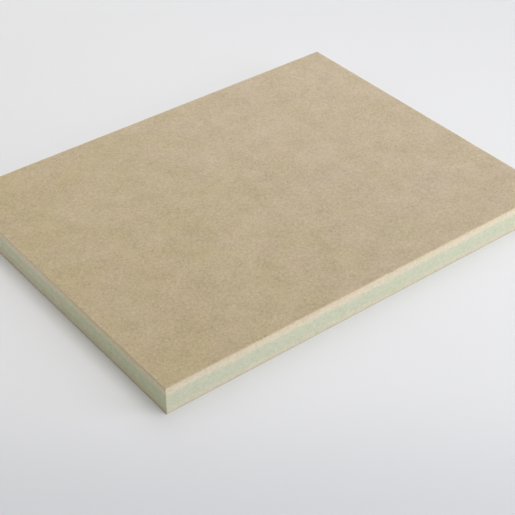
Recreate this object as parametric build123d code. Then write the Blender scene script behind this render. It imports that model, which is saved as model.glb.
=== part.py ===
from build123d import *
from build123d.topology import SkipClean
import os

# A rectangular piece of moisture-resistant fibreboard, lying flat on its back face.
# The origin is the middle of the underside: X runs along the length, Y along the width, Z up.

# The piece as it was sawn from the sheet
length = 279.4
width = 215.9

# The pressed sheet through its thickness: one mat of fibre, dyed green in its middle
face_layer = 5.2
core_layer = 8.8
back_layer = 4.0
thickness = back_layer + core_layer + face_layer

# The saw leaves the arrises almost sharp: each is broken by a flat this far in from both faces
arris_break = 0.3

# Heights above the underside at which the dyed middle begins and ends
core_bottom = back_layer
core_top = back_layer + core_layer


def sawn_board():
    """The whole piece as one solid, with every arris just broken."""
    block = Box(length, width, thickness, align=(Align.CENTER, Align.CENTER, Align.MIN))
    return chamfer(block.edges(), arris_break)


def with_layer_lines(board):
    """The same one solid, its sawn faces divided at the heights where the colour changes."""
    below_core = split(board, bisect_by=Plane.XY.offset(core_bottom), keep=Keep.BOTTOM)
    above_core = split(board, bisect_by=Plane.XY.offset(core_top), keep=Keep.TOP)
    core = board - below_core - above_core
    # Joined again without tidying, so that the dividing lines stay on the sawn faces
    with SkipClean():
        return below_core + core + above_core


def main():
    os.makedirs("parts", exist_ok=True)
    board = with_layer_lines(sawn_board())
    export_step(board, "parts/board.step")


main()
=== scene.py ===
# %% [markdown]
# # A piece of moisture-resistant fibreboard
# The object is one flat piece sawn from a pressed sheet of wood fibre. Its two broad faces have
# a thin tan skin from the press, and its four sawn sides show the inside of the sheet: pale wood
# fibre above and below, and a middle that was dyed green to mark the board as moisture-resistant.
# The frame holds its exact size, so this script only has to add what the saw, the press and the
# dye leave on the surface.

# %% Load the frame
import math

import bpy
from mathutils import Matrix, Vector


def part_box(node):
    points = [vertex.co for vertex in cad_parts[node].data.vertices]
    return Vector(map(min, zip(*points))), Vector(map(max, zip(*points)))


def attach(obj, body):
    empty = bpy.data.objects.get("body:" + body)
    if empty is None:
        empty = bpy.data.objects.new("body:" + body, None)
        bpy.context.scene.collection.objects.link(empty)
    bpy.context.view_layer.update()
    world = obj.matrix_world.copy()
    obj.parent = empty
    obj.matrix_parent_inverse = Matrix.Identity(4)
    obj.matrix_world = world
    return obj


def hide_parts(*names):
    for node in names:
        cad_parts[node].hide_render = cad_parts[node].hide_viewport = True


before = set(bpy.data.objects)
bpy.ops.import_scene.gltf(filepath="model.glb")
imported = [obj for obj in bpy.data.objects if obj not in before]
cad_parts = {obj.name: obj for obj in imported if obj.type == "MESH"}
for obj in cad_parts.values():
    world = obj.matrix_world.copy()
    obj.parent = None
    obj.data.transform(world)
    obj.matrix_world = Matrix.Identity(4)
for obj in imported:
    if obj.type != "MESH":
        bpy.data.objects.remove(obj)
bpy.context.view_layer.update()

MM = 0.001
board_low, board_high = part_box("board")
length, width, thickness = board_high - board_low
print("board, mm:", [round(side / MM, 2) for side in (length, width, thickness)])

# %% [markdown]
# The frame's solid has a line round its sawn sides at each height where the colour changes, and
# one where each arris is broken. Reading the heights from its vertices, instead of writing them
# here again, keeps the picture true to the model if the sheet's build-up is changed.

# %% Read the heights of the layers
corner_heights = sorted({round(vertex.co.z, 6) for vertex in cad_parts["board"].data.vertices})
underside, arris_height, core_bottom, core_top = corner_heights[:4]
face_height = corner_heights[-1]
arris_break = arris_height - underside
print("heights, mm:", [round(height / MM, 2) for height in corner_heights])

# %% [markdown]
# ## The camera
# The camera's numbers come from the six edges of the board that the picture shows: their
# directions fix the turn, the tilt and the lens, and the board's real size fixes the distance.
# Saying where the board lies in the camera's own directions (right, up, back) is easier to check
# than a location, so the location is worked out from that.

# %% Place the camera
SENSOR = 36.0
LENS = 92.49
CAMERA_TURN = math.radians(-37.872)
CAMERA_RISE = math.radians(37.603)
CAMERA_ROLL = math.radians(-0.201)
BOARD_RIGHT, BOARD_UP, BOARD_AWAY = -1.916 * MM, 25.475 * MM, 800.28 * MM

back = Vector((math.sin(CAMERA_TURN) * math.cos(CAMERA_RISE),
               -math.cos(CAMERA_TURN) * math.cos(CAMERA_RISE),
               math.sin(CAMERA_RISE)))
level_right = Vector((0, 0, 1)).cross(back).normalized()
level_up = back.cross(level_right)
right = level_right * math.cos(CAMERA_ROLL) + level_up * math.sin(CAMERA_ROLL)
up = level_up * math.cos(CAMERA_ROLL) - level_right * math.sin(CAMERA_ROLL)

bpy.ops.object.camera_add()
camera = bpy.context.object
camera.name = "camera"
camera.data.lens = LENS
camera.data.sensor_width = SENSOR
camera.rotation_mode = "QUATERNION"
camera.rotation_quaternion = Matrix((right, up, back)).transposed().to_quaternion()
camera.location = back * BOARD_AWAY - right * BOARD_RIGHT - up * BOARD_UP
bpy.context.scene.camera = camera
print("camera at, mm:", [round(value / MM, 1) for value in camera.location])

# %% [markdown]
# ## The board's shape
# A fibreboard could be a plain box, but a sawn one is never that clean: its arrises are slightly
# broken and ragged, its sides are a little rough, and here one arris has a small nick. So its
# walls need many small faces, while its flat faces need none. The rim is therefore made first,
# as a rectangle of short edges, and drawn up through the thickness row by row. Then it is closed
# with one face above and one below.

# %% Helpers for selecting parts of a mesh
def only(piece):
    """Make this the only selected object, in object mode."""
    if bpy.context.object and bpy.context.object.mode != "OBJECT":
        bpy.ops.object.mode_set(mode="OBJECT")
    bpy.ops.object.select_all(action="DESELECT")
    bpy.context.view_layer.objects.active = piece
    piece.select_set(True)


def pick(piece, kind, test):
    """In edit mode, select the piece's VERTs, EDGEs or FACEs that pass the test, and say how many."""
    bpy.ops.object.mode_set(mode="EDIT")
    bpy.ops.mesh.select_mode(type=kind)
    bpy.ops.mesh.select_all(action="DESELECT")
    bpy.ops.object.mode_set(mode="OBJECT")
    mesh = piece.data
    parts = {"VERT": mesh.vertices, "EDGE": mesh.edges, "FACE": mesh.polygons}[kind]
    chosen = [part for part in parts if test(part)]
    for part in chosen:
        part.select = True
    bpy.ops.object.mode_set(mode="EDIT")
    return len(chosen)


def ends(piece, edge):
    """The places of an edge's two vertices."""
    return [piece.data.vertices[index].co for index in edge.vertices]


def size_of(piece):
    """The piece's extent in mm, for printing."""
    places = [vertex.co for vertex in piece.data.vertices]
    spans = [max(p[axis] for p in places) - min(p[axis] for p in places) for axis in range(3)]
    return [round(span / MM, 2) for span in spans]


# %% Make the rim as a rectangle of short edges
CUTS_ALONG = (7, 7, 7)
CUTS_ACROSS = (7, 7, 5)
NEAR = 0.01 * MM

bpy.ops.object.select_all(action="DESELECT")
bpy.ops.mesh.primitive_plane_add(size=1, location=(0, 0, underside))
board = bpy.context.object
board.name = "fibreboard"
board.data.name = "fibreboard"
board.scale = (length, width, 1)
bpy.ops.object.transform_apply(location=True, rotation=True, scale=True)

bpy.ops.object.mode_set(mode="EDIT")
bpy.ops.mesh.select_all(action="SELECT")
bpy.ops.mesh.delete(type="ONLY_FACE")
for axis, cuts in ((0, CUTS_ALONG), (1, CUTS_ACROSS)):
    for cut in cuts:
        pick(board, "EDGE", lambda edge: abs((ends(board, edge)[0] - ends(board, edge)[1])[axis]) > NEAR)
        bpy.ops.mesh.subdivide(number_cuts=cut)
bpy.ops.object.mode_set(mode="OBJECT")
print("edges round the rim:", len(board.data.edges))

# %% [markdown]
# Each row of the wall is one extrusion. The rows are about as high as the edges of the rim are
# long, so that the wall's faces are nearly square, and a row ends at each height where the
# layers change. From the upper and the lower end of the wall a few narrow rings are then drawn
# inwards over the broad faces, by extruding again and scaling. They keep the roughness of the
# arris away from the flat middle, which is closed with one face.

# %% Draw the rim up through the layers
ROW_HEIGHT = 0.9 * MM

bpy.ops.object.mode_set(mode="EDIT")
bpy.ops.mesh.select_all(action="SELECT")
rows = 0
for bottom, top in ((underside, core_bottom), (core_bottom, core_top), (core_top, face_height)):
    steps = round((top - bottom) / ROW_HEIGHT)
    one_row = (0, 0, (top - bottom) / steps)
    for _ in range(steps):
        bpy.ops.mesh.extrude_edges_move(TRANSFORM_OT_translate={"value": one_row})
    rows += steps
bpy.ops.object.mode_set(mode="OBJECT")
print("rows through the thickness:", rows, "faces in the walls:", len(board.data.polygons))

# %% Draw rings over the broad faces and close them
RINGS = (0.5 * MM, 0.5 * MM, 0.6 * MM, 0.9 * MM, 1.5 * MM)

for height in (underside, face_height):
    pick(board, "EDGE", lambda edge: all(abs(end.z - height) < NEAR for end in ends(board, edge)))
    reached = 0
    for ring in RINGS:
        was = Vector((length - 2 * reached, width - 2 * reached))
        reached += ring
        now = Vector((length - 2 * reached, width - 2 * reached))
        bpy.ops.mesh.extrude_edges_move()
        bpy.ops.transform.resize(value=(now.x / was.x, now.y / was.y, 1), center_override=(0, 0, height))
    bpy.ops.mesh.edge_face_add()
bpy.ops.mesh.select_all(action="SELECT")
bpy.ops.mesh.normals_make_consistent(inside=False)
bpy.ops.object.mode_set(mode="OBJECT")
print("faces after closing:", len(board.data.polygons), "size, mm:", size_of(board))

# %% [markdown]
# The saw leaves each arris almost sharp. A bevel of three strips rounds it just enough to catch
# the light.

# %% Break the arrises
ARRIS_STRIPS = 3
SHARP_FROM = math.radians(60)

pick(board, "EDGE", lambda edge: False)
bpy.ops.mesh.edges_select_sharp(sharpness=SHARP_FROM)
bpy.ops.mesh.bevel(offset=arris_break, offset_type="OFFSET", segments=ARRIS_STRIPS, profile=0.5)
bpy.ops.object.mode_set(mode="OBJECT")
print("faces with broken arrises:", len(board.data.polygons), "size, mm:", size_of(board))

# %% [markdown]
# ## Roughness left by the saw
# A blade pulls single fibres out of the sides and tears small crumbs from the arrises. A Displace
# modifier with a cloud texture does both. Its vertex group says how strongly each vertex may
# move. The texture only pushes inwards, so the board never grows past its real size, and the
# broad faces are left flat, because the press made them so.
#
# The nick in the long front arris is where the board was knocked: a notch about 2 mm long, with
# the fibres crushed a little way beside it. Its small stretch of arris gets more faces first,
# and is then pushed down and back.

# %% Give the nicked stretch of the arris more faces
NICK_ALONG = -77.3 * MM
NICK_NOTCH = 1.2 * MM
NICK_REACH = 4.2 * MM
NICK_AREA = 1.6 * MM
NICK_CUTS = 3

nick = Vector((NICK_ALONG, -width / 2, face_height))
pick(board, "FACE", lambda face: len(face.vertices) == 4
     and abs(face.center.x - nick.x) < NICK_REACH
     and (face.center - nick).yz.length < NICK_AREA)
bpy.ops.mesh.subdivide(number_cuts=NICK_CUTS)
bpy.ops.object.mode_set(mode="OBJECT")
print("faces with the nick's:", len(board.data.polygons))


# %% Say how far each vertex may move
def inset_depth(place):
    """How far a place lies in from the nearest of the four sawn sides."""
    return min(length / 2 - abs(place.x), width / 2 - abs(place.y))


def fade(distance, reach):
    """1 at no distance, falling smoothly to 0 at the reach."""
    rest = min(1.0, max(0.0, 1 - distance / reach))
    return rest * rest * (3 - 2 * rest)


CRUMBS_REACH = 1.5 * MM
KNOCK_REACH = 1.5 * MM
DENT_SHARE = 0.25
DENT_ASIDE = 0.4 * NICK_REACH

saw_marks = board.vertex_groups.new(name="saw_marks")
crumbs = board.vertex_groups.new(name="arris_crumbs")
knock = board.vertex_groups.new(name="knock")
for vertex in board.data.vertices:
    place = vertex.co
    depth = inset_depth(place)
    from_face = min(place.z - underside, face_height - place.z)
    on_floor = place.z < underside + NEAR
    saw_marks.add([vertex.index], fade(arris_break - from_face, arris_break), "REPLACE")
    crumbs.add([vertex.index], 0 if on_floor else fade(depth + from_face, CRUMBS_REACH), "REPLACE")
    across = (place - nick).yz.length
    notch = fade(abs(place.x - nick.x), NICK_NOTCH)
    dent = DENT_SHARE * fade(abs(place.x - nick.x + DENT_ASIDE), NICK_REACH)
    knock.add([vertex.index], max(notch, dent) * fade(across, KNOCK_REACH), "REPLACE")
print("vertices:", len(board.data.vertices))


# %% Roughen the sides, crumble the arrises and knock in the nick
def push(piece, name, group, far, direction="NORMAL", grain=None, detail=0):
    """Push a group's vertices by up to a distance, evenly or in clouds of a grain (then only inwards)."""
    modifier = piece.modifiers.new(name, "DISPLACE")
    modifier.vertex_group = group
    modifier.direction = direction
    modifier.mid_level = 0.0
    modifier.strength = far
    if grain:
        pattern = bpy.data.textures.new(name, type="CLOUDS")
        pattern.noise_scale = grain
        pattern.noise_depth = detail
        modifier.texture = pattern
        modifier.texture_coords = "LOCAL"
    only(piece)
    bpy.ops.object.modifier_apply(modifier=name)


PULLED_OUT, PULLED_GRAIN = 0.16 * MM, 1.6 * MM
TORN_OFF, CRUMB_GRAIN = 0.24 * MM, 0.9 * MM
KNOCKED_DOWN, KNOCKED_BACK = 0.75 * MM, 0.35 * MM

push(board, "pulled_fibres", "saw_marks", -PULLED_OUT, grain=PULLED_GRAIN, detail=2)
push(board, "crumbled_arris", "arris_crumbs", -TORN_OFF, grain=CRUMB_GRAIN, detail=1)
push(board, "knocked_down", "knock", -KNOCKED_DOWN, direction="Z")
push(board, "knocked_back", "knock", KNOCKED_BACK, direction="Y")
print("size, mm:", size_of(board))

# %% [markdown]
# Smooth shading joins the many small faces into one surface and leaves an edge only where the
# angle is steep. The one big face in the middle of each broad side has hundreds of corners. It is
# shaded flat, because it has to look flat up to its rim.

# %% Shade the sides smooth and the middle of the broad faces flat
SMOOTH_UP_TO = math.radians(50)
MANY_CORNERS = 100

only(board)
bpy.ops.object.shade_smooth_by_angle(angle=SMOOTH_UP_TO)
pick(board, "FACE", lambda face: len(face.vertices) > MANY_CORNERS)
bpy.ops.mesh.faces_shade_flat()
bpy.ops.object.mode_set(mode="OBJECT")
print("faces shaded flat:", sum(not face.use_smooth for face in board.data.polygons))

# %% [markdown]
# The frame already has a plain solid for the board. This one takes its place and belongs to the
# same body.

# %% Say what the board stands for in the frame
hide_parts("board")
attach(board, "root")

# %% [markdown]
# ## Helpers for the materials
# Every colour here is mixed from node patterns that read the place on the board in metres, so
# that the grain keeps its real size wherever it is seen from. A few small helpers keep the
# patterns short to write.

# %% Helpers: nodes and what goes into them
def shade(red, green, blue):
    """A colour written in screen levels, 0 to 255, as the linear colour that the shaders take."""
    def linear(level):
        share = level / 255
        return share / 12.92 if share <= 0.04045 else ((share + 0.055) / 1.055) ** 2.4
    return (linear(red), linear(green), linear(blue), 1.0)


def feed(tree, sockets, values):
    """Give each socket its value, or a link where the value is another node's output."""
    for name, value in values.items():
        if isinstance(value, bpy.types.NodeSocket):
            tree.links.new(value, sockets[name])
        else:
            sockets[name].default_value = value


def add(tree, kind, inputs=None, **settings):
    """Add a node with its settings and inputs."""
    made = tree.nodes.new(kind)
    for name, value in settings.items():
        setattr(made, name, value)
    feed(tree, made.inputs, inputs or {})
    return made


def maths(tree, operation, *values):
    """A Math node on values or sockets, as its output socket."""
    return add(tree, "ShaderNodeMath", dict(enumerate(values)), operation=operation).outputs[0]


def vector(tree, operation, *values):
    """A Vector Math node on vectors or sockets, as its output socket."""
    return add(tree, "ShaderNodeVectorMath", dict(enumerate(values)), operation=operation).outputs[0]


# %% Helpers: patterns and colours
def clouds(tree, place, grain, detail=2.0, roughness=0.5):
    """Soft noise with blotches about as wide as the grain, around 0.5."""
    inputs = {"Vector": place, "Scale": 1 / grain, "Detail": detail, "Roughness": roughness}
    return add(tree, "ShaderNodeTexNoise", inputs).outputs["Fac"]


def ramp(tree, value, low, high, kind="SMOOTHSTEP"):
    """0 where a value is at the low mark or past it, 1 at the high mark or past it."""
    inputs = {"Value": value, "From Min": low, "From Max": high}
    return add(tree, "ShaderNodeMapRange", inputs, interpolation_type=kind).outputs["Result"]


def blend(tree, share, first, second, kind="MIX"):
    """Two colours mixed by a share, as the output socket."""
    mixer = add(tree, "ShaderNodeMix", data_type="RGBA", blend_type=kind)
    feed(tree, mixer.inputs, {0: share, 6: first, 7: second})
    return mixer.outputs[2]


def tinted(tree, share, colour, tint):
    """A colour multiplied by a tint, as far as a share says."""
    return blend(tree, share, colour, blend(tree, 1.0, colour, tint, "MULTIPLY"))


def swing(tree, noise, far):
    """A noise around 0.5 as a length that swings by up to a distance to either side."""
    return maths(tree, "MULTIPLY_ADD", noise, 2 * far, -far)


def mottled(tree, fibres, mottle, share):
    """The fibres' share of a tone, and the rest from soft clouds."""
    return maths(tree, "ADD", maths(tree, "MULTIPLY", fibres, share),
                 maths(tree, "MULTIPLY", mottle, 1 - share))


def bump(tree, height, strength, far):
    """A normal that makes a pattern look raised by up to a distance."""
    inputs = {"Height": height, "Strength": strength, "Distance": far}
    return add(tree, "ShaderNodeBump", inputs).outputs[0]


# %% Helpers: groups and materials
FLOAT, VECTOR, COLOUR = "NodeSocketFloat", "NodeSocketVector", "NodeSocketColor"


def start_group(name, inputs, outputs):
    """A new node group with the named sockets, as its tree, what it is given and what it gives."""
    tree = bpy.data.node_groups.new(name, "ShaderNodeTree")
    for title, kind in inputs:
        tree.interface.new_socket(title, in_out="INPUT", socket_type=kind)
    for title, kind in outputs:
        tree.interface.new_socket(title, in_out="OUTPUT", socket_type=kind)
    return tree, tree.nodes.new("NodeGroupInput").outputs, tree.nodes.new("NodeGroupOutput").inputs


def use(tree, group, **inputs):
    """Put a node group into a tree, as its outputs."""
    made = add(tree, "ShaderNodeGroup", node_tree=group)
    feed(tree, made.inputs, inputs)
    return made.outputs


def start_material(name):
    """A material with only its shader, and the place on the object in metres."""
    material = bpy.data.materials.new(name)
    material.use_nodes = True
    tree = material.node_tree
    place = tree.nodes.new("ShaderNodeTexCoord").outputs["Object"]
    return material, tree, tree.nodes["Principled BSDF"], place


# %% [markdown]
# ## Wood fibres
# Fibreboard is wood boiled and ground to single fibres, glued and pressed. The fibres settle flat
# and lie in all directions, so the same stuff looks like felt from above and like fine layers
# from the side. One solid pattern does both: noise that is long in one direction and squashed in
# height, laid down three times at different turns.

# %% Group: wood fibres
FIBRE_TURNS = (0.35, 1.40, 2.45)
FIBRE_SHAPE = (0.45, 1.25, 2.2)
FIBRE_GRAIN = 1.05 * MM

wood_fibres, given, gives = start_group(
    "wood_fibres", [("Place", VECTOR), ("Grain", FLOAT)], [("Fibres", FLOAT)])
scale = maths(wood_fibres, "DIVIDE", 1.0, given["Grain"])
total = 0.0
for turn in FIBRE_TURNS:
    turned = add(wood_fibres, "ShaderNodeVectorRotate", {"Vector": given["Place"], "Angle": turn},
                 rotation_type="Z_AXIS").outputs[0]
    drawn = vector(wood_fibres, "MULTIPLY", turned, FIBRE_SHAPE)
    laid = add(wood_fibres, "ShaderNodeTexNoise",
               {"Vector": drawn, "Scale": scale, "Detail": 2.0, "Roughness": 0.75}).outputs["Fac"]
    total = maths(wood_fibres, "ADD", total, laid)
feed(wood_fibres, gives, {"Fibres": maths(wood_fibres, "DIVIDE", total, float(len(FIBRE_TURNS)))})
print("nodes for the wood fibres:", len(wood_fibres.nodes))

# %% [markdown]
# ## Specks
# Bark and stray splinters end up in the mat as sparse specks. Cells of a Voronoi pattern scatter
# them: most cells stay empty, and in the others the speck is the part near the cell's middle.

# %% Group: specks
WOBBLE = 0.5 * MM

specks, given, gives = start_group(
    "specks", [("Place", VECTOR), ("Spacing", FLOAT), ("Size", FLOAT), ("Share", FLOAT)],
    [("Specks", FLOAT)])
wobble = add(specks, "ShaderNodeTexNoise", {"Vector": given["Place"], "Scale": 1 / WOBBLE}).outputs["Color"]
bent = vector(specks, "MULTIPLY_ADD", wobble, (WOBBLE, WOBBLE, WOBBLE), given["Place"])
cells = add(specks, "ShaderNodeTexVoronoi",
            {"Vector": bent, "Scale": maths(specks, "DIVIDE", 1.0, given["Spacing"])}).outputs
apart = maths(specks, "MULTIPLY", cells["Distance"], given["Spacing"])
lot = add(specks, "ShaderNodeSeparateColor", {0: cells["Color"]}).outputs[0]
within = ramp(specks, apart, given["Size"], 0.0, "LINEAR")
drawn_by_lot = maths(specks, "LESS_THAN", lot, given["Share"])
feed(specks, gives, {"Specks": maths(specks, "MULTIPLY", within, drawn_by_lot)})
print("nodes for the specks:", len(specks.nodes))

# %% [markdown]
# ## Painted shade and the splinter at the nick
# Where the arris was knocked, the notch and a fine crease running down the sawn side get painted
# shade, and a pale splinter lies bare just behind the notch on the broad face. All three are soft
# spots placed by where they lie on the board.

# %% Group: painted shade and the splinter round the nick
def spot(tree, place, centre, radii):
    """1 at a spot's centre, fading to 0 at its radii."""
    away = vector(tree, "DIVIDE", vector(tree, "SUBTRACT", place, tuple(centre)), tuple(radii))
    far = add(tree, "ShaderNodeVectorMath", {0: away}, operation="LENGTH").outputs["Value"]
    return ramp(tree, far, 1.0, 0.0)


# Painted shade in the notch and in a crease down the sawn side; the pale splinter is the board's own
NOTCH_SHADE_AT, NOTCH_SHADE_RADII = Vector((0.2, 0.1, -0.1)) * MM, Vector((2.0, 0.9, 0.75)) * MM
CREASE_SHADE_AT, CREASE_SHADE_RADII = Vector((-3.4, 0, -2.2)) * MM, Vector((0.45, 0.6, 1.9)) * MM
SPLINTER_AT, SPLINTER_RADII = Vector((-2.6, 1.9, 0)) * MM, Vector((1.0, 1.0, 0.5)) * MM
CREASE_SHADE_SHARE = 0.25

nick_shade_and_splinter, given, gives = start_group("nick_shade_and_splinter", [("Place", VECTOR)], [("Notch shade", FLOAT), ("Pale", FLOAT)])
notch_shade = spot(nick_shade_and_splinter, given["Place"], nick + NOTCH_SHADE_AT, NOTCH_SHADE_RADII)
crease_shade = spot(nick_shade_and_splinter, given["Place"], nick + CREASE_SHADE_AT, CREASE_SHADE_RADII)
splinter = spot(nick_shade_and_splinter, given["Place"], nick + SPLINTER_AT, SPLINTER_RADII)
# The painted shade: the notch's, and a weaker one in the crease
dark = maths(nick_shade_and_splinter, "MAXIMUM", notch_shade, maths(nick_shade_and_splinter, "MULTIPLY", crease_shade, CREASE_SHADE_SHARE))
feed(nick_shade_and_splinter, gives, {"Notch shade": dark, "Pale": splinter})
print("nodes for the bruise:", len(nick_shade_and_splinter.nodes), "centre, mm:", [round(value / MM, 1) for value in nick])

# %% [markdown]
# ## Wear along the arrises
# Handling rubs the arrises and breaks out single fibres, which leaves a thin, ragged, paler line
# on both faces that meet there. A point on the surface lies on one face, so the smallest of its
# three depths below the faces is nothing, and the middle one is its distance to the arris.

# %% Group: wear along the arrises
CHIP, CHIP_GRAIN = 1.0 * MM, 1.3 * MM

arris_wear, given, gives = start_group(
    "arris_wear", [("Place", VECTOR), ("Reach", FLOAT)], [("Wear", FLOAT)])
centred = vector(arris_wear, "SUBTRACT", given["Place"], (0, 0, (underside + face_height) / 2))
depths = vector(arris_wear, "SUBTRACT", (length / 2, width / 2, thickness / 2),
                vector(arris_wear, "ABSOLUTE", centred))
x, y, z = add(arris_wear, "ShaderNodeSeparateXYZ", {0: depths}).outputs
middle = maths(arris_wear, "MAXIMUM", maths(arris_wear, "MINIMUM", x, y),
               maths(arris_wear, "MINIMUM", maths(arris_wear, "MAXIMUM", x, y), z))
chips = swing(arris_wear, clouds(arris_wear, given["Place"], CHIP_GRAIN, 3.0, 0.6), CHIP)
from_arris = maths(arris_wear, "ADD", middle, chips)
feed(arris_wear, gives, {"Wear": ramp(arris_wear, from_arris, given["Reach"], 0.0)})
print("nodes for the wear:", len(arris_wear.nodes))

# %% [markdown]
# ## Flecks
# Both the pressed skin and the sawn side are flecked: where a tone is low the colour is scorched
# darker, and where it is high, paler fibres lie bare. The spread says how far the tone has to be
# from its middle for that, so a smaller one gives stronger flecks.

# %% Group: flecks
SCORCHED = (0.62, 0.595, 0.535, 1)
BARE = (1.32, 1.35, 1.47, 1)
MIDDLE_TONE = 0.5

flecks, given, gives = start_group(
    "flecks", [("Colour", COLOUR), ("Tone", FLOAT), ("Spread", FLOAT)], [("Colour", COLOUR)])
darkest = maths(flecks, "SUBTRACT", MIDDLE_TONE, given["Spread"])
palest = maths(flecks, "ADD", MIDDLE_TONE, given["Spread"])
colour = tinted(flecks, ramp(flecks, given["Tone"], MIDDLE_TONE, darkest, "LINEAR"),
                given["Colour"], SCORCHED)
colour = tinted(flecks, ramp(flecks, given["Tone"], MIDDLE_TONE, palest, "LINEAR"), colour, BARE)
feed(flecks, gives, {"Colour": colour})
print("nodes for the flecks:", len(flecks.nodes))

# %% [markdown]
# ## The pressed face
# The hot press scorches the outermost fibres to a tan skin. It is slightly olive in some clouds
# and pinkish in others, and is rubbed paler along the arrises. Painted light and sheen make it
# lighter and less yellow towards one end. Fibres only show as faint flecks, because the skin is
# pressed so flat.

# %% Pressed face: its colours and sizes
FUZZ_OF_FACE = 1.0
SHEEN_OF_FACE = 0.25
# TAN_LEFT and TAN_RIGHT are painted light: the darker, yellower end stands for weaker light, and the paler
# end for more light and sheen
TAN_LEFT = shade(187, 171, 137)
TAN_RIGHT = shade(190, 175, 149)
OLIVE = (0.99, 1.0, 0.962, 1)
PINKISH = (1.012, 0.998, 1.038, 1)
# The colour of the bark specks, also used for the painted shade in the nick
BARK_AND_SHADE = shade(112, 92, 62)
SPLINTER = shade(208, 190, 157)
# How far the painted light and sheen wander in clouds on their way from the left end to the right
LIGHT_DRIFT_GRAIN, LIGHT_DRIFT = 60 * MM, 0.16
FACE_HUE_GRAIN, FACE_MOTTLE_GRAIN = 24 * MM, 13 * MM
FACE_FIBRES, FACE_SPREAD = 0.79, 0.213
FACE_WEAR, FACE_WEAR_REACH = 0.4, 1.0 * MM
BARK_SPACING, BARK_SIZE, PALE_SPACING, PALE_SIZE = 2.6 * MM, 0.5 * MM, 2.2 * MM, 0.45 * MM
SPECK_SHARE = 0.30
# Two shifts, in metres, so that one pattern of clouds or specks doesn't repeat another
ELSEWHERE = (0.3, 0.1, 0)
ASIDE = (0.7, 0.2, 0)

# %% Pressed face: its material
pressed, tree, shader, place = start_material("pressed_face")
axes = add(tree, "ShaderNodeSeparateXYZ", {0: place}).outputs
fibres = use(tree, wood_fibres, Place=place, Grain=FIBRE_GRAIN)["Fibres"]
# Painted light and sheen: the tan grows lighter from the left end to the right
light_drift = maths(tree, "MULTIPLY_ADD", clouds(tree, place, LIGHT_DRIFT_GRAIN), LIGHT_DRIFT, axes["X"])
colour = blend(tree, ramp(tree, light_drift, -0.45 * length, 0.70 * length), TAN_LEFT, TAN_RIGHT)
hue = clouds(tree, vector(tree, "ADD", place, ELSEWHERE), FACE_HUE_GRAIN, 4.0, 0.65)
colour = blend(tree, 1.0, colour, blend(tree, ramp(tree, hue, 0.3, 0.7), OLIVE, PINKISH), "MULTIPLY")
tone = mottled(tree, fibres, clouds(tree, place, FACE_MOTTLE_GRAIN, 5.0, 0.62), FACE_FIBRES)
colour = use(tree, flecks, Colour=colour, Tone=tone, Spread=FACE_SPREAD)["Colour"]
wear = use(tree, arris_wear, Place=place, Reach=FACE_WEAR_REACH)["Wear"]
colour = tinted(tree, maths(tree, "MULTIPLY", wear, FACE_WEAR), colour, BARE)
bark = use(tree, specks, Place=place, Spacing=BARK_SPACING, Size=BARK_SIZE, Share=SPECK_SHARE)["Specks"]
colour = blend(tree, maths(tree, "MULTIPLY", bark, 0.5), colour, BARK_AND_SHADE)
pale = use(tree, specks, Place=vector(tree, "ADD", place, ASIDE), Spacing=PALE_SPACING, Size=PALE_SIZE,
           Share=SPECK_SHARE)["Specks"]
spots = use(tree, nick_shade_and_splinter, Place=place)
pale = maths(tree, "MAXIMUM", maths(tree, "MULTIPLY", pale, 0.4), spots["Pale"])
colour = blend(tree, pale, colour, SPLINTER)
# Painted shade in the notch and the crease
colour = blend(tree, maths(tree, "MULTIPLY", spots["Notch shade"], 0.6), colour, BARK_AND_SHADE)
feed(tree, shader.inputs, {
    "Base Color": colour,
    "Diffuse Roughness": FUZZ_OF_FACE,
    "Specular IOR Level": SHEEN_OF_FACE,
    "Roughness": maths(tree, "MULTIPLY_ADD", fibres, 0.4, 0.58),
    "Normal": bump(tree, tone, 0.33, 0.06 * MM),
})
print("nodes for the pressed face:", len(tree.nodes))

# %% [markdown]
# ## The sawn sides
# The saw cuts through the whole sheet and shows what the press did not scorch. The dye went into
# the middle of the mat only, so the green fades into the pale wood within a millimetre or two, at
# a height that wavers. Away from the front side the green begins higher above the underside. The
# heat of the press has warmed the pale wood next to each face. The very bottom has a thin brown
# line, partly the pressed skin and partly painted contact shadow, which is stronger on the short
# sides. The short sides also get painted shade: their pale bottom layer is darker, and they are
# darker and yellower towards the front.

# %% Sawn side: its colours and sizes
FUZZ_OF_SIDE = 0.5
SHEEN_OF_SIDE = 0.25
CREAM = shade(233, 223, 198)
WARMED = shade(231, 214, 183)
GREEN = shade(215, 217, 192)
BACK_CREAM = shade(224, 218, 193)
# Painted shade: the pale bottom layer as it looks on the short sides, which lie in shade
BACK_SHADED = shade(214, 209, 182)
# SKIN colours the bottom line: partly the pressed skin, partly painted contact shadow
SKIN = shade(176, 156, 126)
DYE_TINGED = (0.975, 1.006, 0.955, 1)
ROSY = (1.025, 0.994, 1.045, 1)
# Painted shade, darker and yellower, on the short sides towards the front corner
FRONT_SHADE_TINT = (0.935, 0.95, 0.90, 1)
FADE_ABOVE, FADE_BELOW = 1.5 * MM, 1.1 * MM
CREAM_REACH, BACK_REACH = 0.4 * MM, 0.3 * MM
SLOW_GRAIN, SLOW_SWING = 26 * MM, 1.2 * MM
QUICK_GRAIN, QUICK_SWING, RAGGED_SWING = 2.4 * MM, 0.9 * MM, 0.6 * MM
RISE, RISE_OVER = 2.6 * MM, 22 * MM
# Where the painted shade on the short sides begins and where it is full
FRONT_SHADE_FROM, FRONT_SHADE_FULL = 30 * MM, -50 * MM
DYE_GRAIN, SIDE_HUE_GRAIN, SIDE_MOTTLE_GRAIN = 5 * MM, 3 * MM, 4 * MM
SIDE_FIBRES, SIDE_SPREAD = 0.82, 0.28
SIDE_WEAR, SIDE_WEAR_REACH = 0.3, 0.8 * MM

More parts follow.
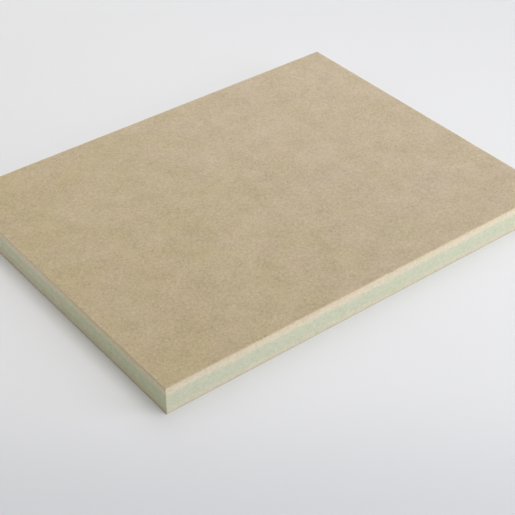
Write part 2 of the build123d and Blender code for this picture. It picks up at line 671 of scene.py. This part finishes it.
# %% Sawn side: the layers of the sheet
sawn, tree, shader, place = start_material("sawn_side")
axes = add(tree, "ShaderNodeSeparateXYZ", {0: place}).outputs
fibres = use(tree, wood_fibres, Place=place, Grain=FIBRE_GRAIN)["Fibres"]
slow = clouds(tree, place, SLOW_GRAIN, 1.0)
quick = clouds(tree, place, QUICK_GRAIN, 3.0, 0.6)
waver = maths(tree, "ADD", swing(tree, slow, SLOW_SWING), swing(tree, quick, QUICK_SWING))
level = maths(tree, "ADD", axes["Z"], waver)
rise = maths(tree, "MULTIPLY", ramp(tree, axes["Y"], -width / 2, -width / 2 + RISE_OVER), RISE)
top_line, bottom_line = core_top - CREAM_REACH, core_bottom - BACK_REACH
above = ramp(tree, level, top_line - FADE_ABOVE, top_line + FADE_ABOVE)
below = ramp(tree, maths(tree, "SUBTRACT", level, rise), bottom_line + FADE_BELOW, bottom_line - FADE_BELOW)
dye = ramp(tree, clouds(tree, place, DYE_GRAIN, 3.0, 0.6), 0.75, 0.25)
dyed = blend(tree, maths(tree, "MULTIPLY_ADD", dye, 0.4, 0.8), BACK_CREAM, GREEN)
warmed = blend(tree, ramp(tree, level, face_height - 3.4 * MM, face_height - 0.6 * MM), CREAM, WARMED)
colour = blend(tree, above, dyed, warmed)
on_short_side = ramp(tree, maths(tree, "ABSOLUTE", axes["X"]), length / 2 - 0.5 * MM, length / 2 - 0.2 * MM)
# Painted shade on the short sides' pale bottom layer
back_colour = blend(tree, on_short_side, BACK_CREAM, BACK_SHADED)
colour = blend(tree, below, colour, back_colour)
print("green from", round(bottom_line / MM, 1), "to", round(top_line / MM, 1), "mm above the underside")

# %% Sawn side: what the press, the saw and use left on it, and painted shade
hue = clouds(tree, vector(tree, "ADD", place, ELSEWHERE), SIDE_HUE_GRAIN, 3.0, 0.6)
colour = blend(tree, 1.0, colour, blend(tree, ramp(tree, hue, 0.3, 0.7), DYE_TINGED, ROSY), "MULTIPLY")
# Painted shade on the short sides, growing towards the front
front_shade = maths(tree, "MULTIPLY", on_short_side, ramp(tree, axes["Y"], FRONT_SHADE_FROM, FRONT_SHADE_FULL))
colour = tinted(tree, front_shade, colour, FRONT_SHADE_TINT)
ragged = maths(tree, "ADD", axes["Z"], swing(tree, quick, RAGGED_SWING))
# The thin bottom line is partly the pressed skin and partly painted contact shadow, which is stronger on
# the short sides
skin_and_shadow = ramp(tree, ragged, underside + 1.3 * MM, underside + 0.2 * MM)
skin_and_shadow_share = maths(tree, "MULTIPLY_ADD", on_short_side, 0.6, 0.3)
colour = blend(tree, maths(tree, "MULTIPLY", skin_and_shadow, skin_and_shadow_share), colour, SKIN)
tanned = ramp(tree, ragged, face_height - 1.3 * MM, face_height + 0.1 * MM)
tanned = maths(tree, "MULTIPLY", tanned, maths(tree, "MULTIPLY_ADD", on_short_side, -0.4, 1.0))
colour = blend(tree, tanned, colour, TAN_RIGHT)
flattened = vector(tree, "MULTIPLY", place, (1, 1, 1.8))
tone = mottled(tree, fibres, clouds(tree, flattened, SIDE_MOTTLE_GRAIN, 3.0, 0.6), SIDE_FIBRES)
colour = use(tree, flecks, Colour=colour, Tone=tone, Spread=SIDE_SPREAD)["Colour"]
wear = use(tree, arris_wear, Place=place, Reach=SIDE_WEAR_REACH)["Wear"]
colour = blend(tree, maths(tree, "MULTIPLY", wear, SIDE_WEAR), colour, WARMED)
spots = use(tree, nick_shade_and_splinter, Place=place)
# Painted shade in the notch and the crease
colour = blend(tree, maths(tree, "MULTIPLY", spots["Notch shade"], 0.45), colour, BARK_AND_SHADE)
feed(tree, shader.inputs, {
    "Base Color": colour,
    "Diffuse Roughness": FUZZ_OF_SIDE,
    "Specular IOR Level": SHEEN_OF_SIDE,
    "Roughness": maths(tree, "MULTIPLY_ADD", fibres, 0.3, 0.72),
    "Normal": bump(tree, tone, 0.45, 0.08 * MM),
})
print("nodes for the sawn side:", len(tree.nodes))

# %% [markdown]
# The press touched only the two broad faces. Each face of the mesh that lies in one of them gets
# the pressed material. All others show the inside of the sheet, and so do the broken arrises.

# %% Put the materials on
SKIN_DEPTH = 0.5 * MM

board.data.materials.append(pressed)
board.data.materials.append(sawn)
for face in board.data.polygons:
    from_face = min(face.center.z - underside, face_height - face.center.z)
    on_skin = from_face < SKIN_DEPTH and inset_depth(face.center) > arris_break
    face.material_index = 0 if on_skin else 1
sawn_faces = sum(face.material_index for face in board.data.polygons)
print("pressed faces:", len(board.data.polygons) - sawn_faces, "sawn faces:", sawn_faces)

# %% [markdown]
# ## Floor and light
# The board lies on a wide sheet of pale paper, with painted shade that darkens it towards the
# viewer. Close to the board the paper is lit like the board. Further out it only has to look like
# an endless pale ground from every side, so there it turns into a plain tone that the camera sees
# and that lights nothing. Whatever shines or is clear shows the same tone. From below the paper
# lets everything through, and so does the part of it that the board covers, so that the underside
# can be looked at as well.

# %% What the camera sees
def in_sight(tree):
    """1 for what the camera sees, straight or by way of a shiny or clear surface, otherwise 0."""
    rays = add(tree, "ShaderNodeLightPath").outputs
    by_way_of = maths(tree, "MAXIMUM", rays["Is Glossy Ray"], rays["Is Transmission Ray"])
    return maths(tree, "MAXIMUM", rays["Is Camera Ray"], by_way_of)


# %% Floor
FLOOR_SIDE = 12.0
FLOOR_GAP = 0.02 * MM
PAPER = (0.727, 0.726, 0.732, 1)
# Painted shade: the paper's darker, slightly bluish tone towards the viewer
SHADED_PAPER = (0.640, 0.644, 0.664, 1)
FAR_PAPER = (0.84, 0.84, 0.85, 1)
SHADE_STARTS, SHADE_FULL = 0.11, 0.20
FAR_STARTS, FAR_FULL = 0.24, 0.56

bpy.ops.object.select_all(action="DESELECT")
bpy.ops.mesh.primitive_plane_add(size=FLOOR_SIDE, location=(0, 0, underside - FLOOR_GAP))
floor = bpy.context.object
floor.name = "floor"
paper, tree, shader, place = start_material("pale_paper")
towards_back = vector(tree, "MULTIPLY", place, (-back.x, -back.y, 0))
x, y, z = add(tree, "ShaderNodeSeparateXYZ", {0: towards_back}).outputs
# Painted shade, growing towards the viewer
shade_towards_viewer = ramp(tree, maths(tree, "ADD", x, y), -SHADE_STARTS, -SHADE_FULL)
toned = blend(tree, shade_towards_viewer, PAPER, SHADED_PAPER)
feed(tree, shader.inputs, {"Base Color": toned, "Roughness": 0.9, "Specular IOR Level": 0.0})

away = add(tree, "ShaderNodeVectorMath", {0: place}, operation="LENGTH").outputs["Value"]
glow = add(tree, "ShaderNodeEmission", {"Color": FAR_PAPER, "Strength": 1.0}).outputs[0]
far = maths(tree, "MULTIPLY", ramp(tree, away, FAR_STARTS, FAR_FULL), in_sight(tree))
near_and_far = add(tree, "ShaderNodeMixShader", {0: far, 1: shader.outputs[0], 2: glow}).outputs[0]

inside = vector(tree, "SUBTRACT", (length / 2, width / 2, 0), vector(tree, "ABSOLUTE", place))
x, y, z = add(tree, "ShaderNodeSeparateXYZ", {0: inside}).outputs
covered = maths(tree, "GREATER_THAN", maths(tree, "MINIMUM", x, y), arris_break)
from_below = add(tree, "ShaderNodeNewGeometry").outputs["Backfacing"]
clear = add(tree, "ShaderNodeBsdfTransparent").outputs[0]
open_part = maths(tree, "MAXIMUM", from_below, covered)
seen = add(tree, "ShaderNodeMixShader", {0: open_part, 1: near_and_far, 2: clear}).outputs[0]
feed(tree, tree.nodes["Material Output"].inputs, {"Surface": seen})
floor.data.materials.append(paper)
print("floor, m:", FLOOR_SIDE, "nodes for its paper:", len(tree.nodes))

# %% [markdown]
# The light is a room of soft lamps. The main one stands high in front, which makes the long side
# bright and leaves the short one in shade, with a soft dark foot beside it. A warm one far to the
# left and a weak one overhead fill the rest. Four smaller ones stand nearer: one behind on the
# left brightens the far end of the short side, and the others the far and the right end of the
# board. None is seen itself.

# %% Lamps
def softbox(name, place, side, power, colour):
    """A square lamp with a side in metres that looks at the board and isn't seen itself."""
    bpy.ops.object.light_add(type="AREA", location=place)
    lamp = bpy.context.object
    lamp.name = name
    lamp.data.size = side
    lamp.data.energy = power
    lamp.data.color = colour
    lamp.rotation_euler = (-Vector(place)).to_track_quat("-Z", "Y").to_euler()
    lamp.visible_camera = False
    print(name, "in watts:", power, "distance, m:", round(Vector(place).length, 2))


WARM_WHITE = (1, 0.966, 0.87)

softbox("lamp_overhead", (0, 0, 1.5), 1.4, 3.7, (1, 0.996, 0.99))
softbox("lamp_front", (0.1, -1.2, 1.7), 1.4, 22.0, (0.96, 0.97, 1))
softbox("lamp_left", (-1.8, 0.2, 1.3), 1.8, 4.4, WARM_WHITE)
softbox("lamp_left_back", (-0.6, 0.4, 0.35), 0.4, 0.70, WARM_WHITE)
softbox("lamp_back", (0.05, 0.55, 0.5), 0.5, 1.0, (1, 1, 1))
softbox("lamp_above_right", (0.25, 0.1, 0.6), 0.6, 1.55, (1, 0.997, 1))
softbox("lamp_right_front", (0.45, -0.6, 0.3), 0.35, 2.05, (0.918, 0.937, 1))

# %% [markdown]
# The room itself adds a little light from all round. Below the floor it is bright, which only the
# underside sees. The camera sees the far paper's tone in every direction.

# %% Surroundings
ROOM_LIGHT, LIGHT_BELOW = 0.06, 0.9
BELOW_HORIZON = -0.1

world = bpy.data.worlds.new("studio")
bpy.context.scene.world = world
world.use_nodes = True
tree = world.node_tree
direction = add(tree, "ShaderNodeTexCoord").outputs["Generated"]
x, y, z = add(tree, "ShaderNodeSeparateXYZ", {0: direction}).outputs
room = tree.nodes["Background"]
strength = maths(tree, "MULTIPLY_ADD", ramp(tree, z, 0.0, BELOW_HORIZON), LIGHT_BELOW, ROOM_LIGHT)
feed(tree, room.inputs, {"Color": (1, 1, 1, 1), "Strength": strength})
backdrop = add(tree, "ShaderNodeBackground", {"Color": FAR_PAPER, "Strength": 1.0}).outputs[0]
sky = add(tree, "ShaderNodeMixShader", {0: in_sight(tree), 1: room.outputs[0], 2: backdrop}).outputs[0]
feed(tree, tree.nodes["World Output"].inputs, {"Surface": sky})
print("nodes for the surroundings:", len(tree.nodes))

# %% [markdown]
# Last, plain view settings keep the colours as they are.

# %% Finish
bpy.context.scene.view_settings.view_transform = "Standard"
